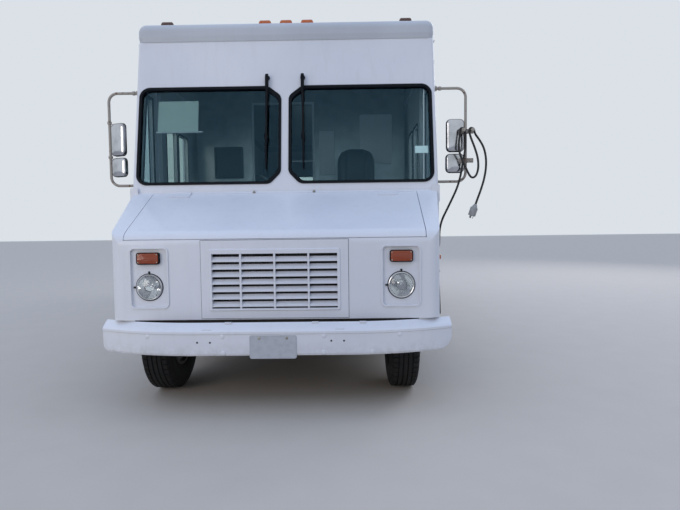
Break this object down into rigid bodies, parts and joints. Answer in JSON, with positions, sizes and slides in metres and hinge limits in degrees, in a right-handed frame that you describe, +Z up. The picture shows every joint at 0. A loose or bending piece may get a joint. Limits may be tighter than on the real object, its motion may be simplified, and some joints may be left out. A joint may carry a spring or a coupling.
{
  "type": "food truck",
  "caption": "Walk-in step van food truck: split windshield, louvred grille, sliding cab doors, serving hatch with shelf, rear doors and dual rear wheels.",
  "frame": {"origin": "on the ground, under the middle of the length and width", "axes": "-Y to the front, +X to the driver's side (left), +Z up"},
  "size_m": [3.103, 7, 3.1278],
  "materials": {
    "white_paint": "aged gloss enamel, brushed on",
    "roof_white": "painted aluminium, weathered",
    "frame_black": "chassis black with road dirt",
    "cast_grey": "oily cast iron",
    "glass": "tinted safety glass",
    "lamp_glass": "clear fluted lens",
    "amber_plastic": "amber lens",
    "red_plastic": "red lens",
    "black_rubber": "matt rubber",
    "tyre": "worn tyre rubber",
    "wheel_paint": "white wheel enamel",
    "black_plastic": "grained black plastic",
    "stainless": "brushed stainless steel",
    "rusty_tube": "painted tube with surface rust",
    "floor_metal": "tread plate",
    "kitchen_steel": "brushed sheet",
    "seat_vinyl": "black vinyl",
    "plug_grey": "pale grey moulded plug"
  },
  "bodies": {
    "truck_body": {"chassis_frame": "frame_black", "front_suspension": "frame_black", "rear_suspension": "frame_black", "engine_block": "cast_grey", "front_bumper": "white_paint", "rear_bumper": "white_paint", "nose_shell": "white_paint", "grille": "white_paint", "headlamps": "lamp_glass", "amber_lamps": "amber_plastic", "tail_lamps": "red_plastic", "front_wall": "white_paint", "cab_glass": "glass", "window_gaskets": "black_rubber", "wall_left": "white_paint", "wall_right": "white_paint", "floor_pan": "floor_metal", "roof_shell": "roof_white", "rear_frame": "white_paint", "mirror_arms": "rusty_tube", "mirror_heads": "stainless", "wipers": "black_plastic", "dashboard": "black_plastic", "driver_seat": "seat_vinyl", "kitchen_fittings": "kitchen_steel", "roof_vent": "roof_white", "fuel_tank": "frame_black", "exhaust_pipe": "cast_grey", "cord_gland": "black_plastic", "power_cord": "black_rubber", "power_plug": "plug_grey"},
    "hood": {"hood": "white_paint"},
    "serving_hatch": {"serving_hatch": "white_paint"},
    "service_shelf": {"service_shelf": "stainless"},
    "cab_door_left": {"cab_door_left": "white_paint", "door_glass_left": "glass"},
    "rear_door_left": {"rear_door_left": "white_paint", "rear_glass_left": "glass"},
    "knuckle_left": {"knuckle_left": "frame_black"},
    "front_wheel_left": {"front_tyre_left": "tyre", "front_rim_left": "wheel_paint"},
    "rear_wheels_left": {"rear_tyres_left": "tyre", "rear_rims_left": "wheel_paint"},
    "cab_door_right": {"cab_door_right": "white_paint", "door_glass_right": "glass"},
    "rear_door_right": {"rear_door_right": "white_paint", "rear_glass_right": "glass"},
    "knuckle_right": {"knuckle_right": "frame_black"},
    "front_wheel_right": {"front_tyre_right": "tyre", "front_rim_right": "wheel_paint"},
    "rear_wheels_right": {"rear_tyres_right": "tyre", "rear_rims_right": "wheel_paint"}
  },
  "joints": [
    {"name": "hood_hinge", "type": "hinge", "parent": "truck_body", "child": "hood", "pos_m": [0, -2.7675, 1.5023], "axis": [-1, 0, 0], "range_deg": [0, 75]},
    {"name": "hatch_hinge", "type": "hinge", "parent": "truck_body", "child": "serving_hatch", "pos_m": [-1.2103, 0.34, 2.382], "axis": [0, 1, 0], "range_deg": [0, 95]},
    {"name": "shelf_hinge", "type": "hinge", "parent": "truck_body", "child": "service_shelf", "pos_m": [-1.2103, 0.34, 1.44], "axis": [0, 1, 0], "range_deg": [0, 90]},
    {"name": "cab_door_left_slide", "type": "slide", "parent": "truck_body", "child": "cab_door_left", "axis": [0, 1, 0], "range_m": [0, 0.72]},
    {"name": "rear_door_left_hinge", "type": "hinge", "parent": "truck_body", "child": "rear_door_left", "pos_m": [0.706, 3.3873, 1.7], "axis": [0, 0, -1], "range_deg": [0, 110]},
    {"name": "steer_left", "type": "hinge", "parent": "truck_body", "child": "knuckle_left", "pos_m": [0.765, -2.82, 0.341], "axis": [0, 0, 1], "range_deg": [-33, 33]},
    {"name": "front_wheel_left_spin", "type": "hinge", "parent": "knuckle_left", "child": "front_wheel_left", "pos_m": [0.89, -2.82, 0.388], "axis": [1, 0, 0], "continuous": true},
    {"name": "rear_wheels_left_spin", "type": "hinge", "parent": "truck_body", "child": "rear_wheels_left", "pos_m": [0.83, 1.17, 0.388], "axis": [1, 0, 0], "continuous": true},
    {"name": "cab_door_right_slide", "type": "slide", "parent": "truck_body", "child": "cab_door_right", "axis": [0, 1, 0], "range_m": [0, 0.72]},
    {"name": "rear_door_right_hinge", "type": "hinge", "parent": "truck_body", "child": "rear_door_right", "pos_m": [-0.706, 3.3873, 1.7], "axis": [0, 0, 1], "range_deg": [0, 110]},
    {"name": "steer_right", "type": "hinge", "parent": "truck_body", "child": "knuckle_right", "pos_m": [-0.765, -2.82, 0.341], "axis": [0, 0, 1], "range_deg": [-33, 33]},
    {"name": "front_wheel_right_spin", "type": "hinge", "parent": "knuckle_right", "child": "front_wheel_right", "pos_m": [-0.89, -2.82, 0.388], "axis": [1, 0, 0], "continuous": true},
    {"name": "rear_wheels_right_spin", "type": "hinge", "parent": "truck_body", "child": "rear_wheels_right", "pos_m": [-0.83, 1.17, 0.388], "axis": [1, 0, 0], "continuous": true}
  ],
  "couplings": [
    {"joint": "steer_right", "follows": "steer_left", "ratio": 1}
  ]
}
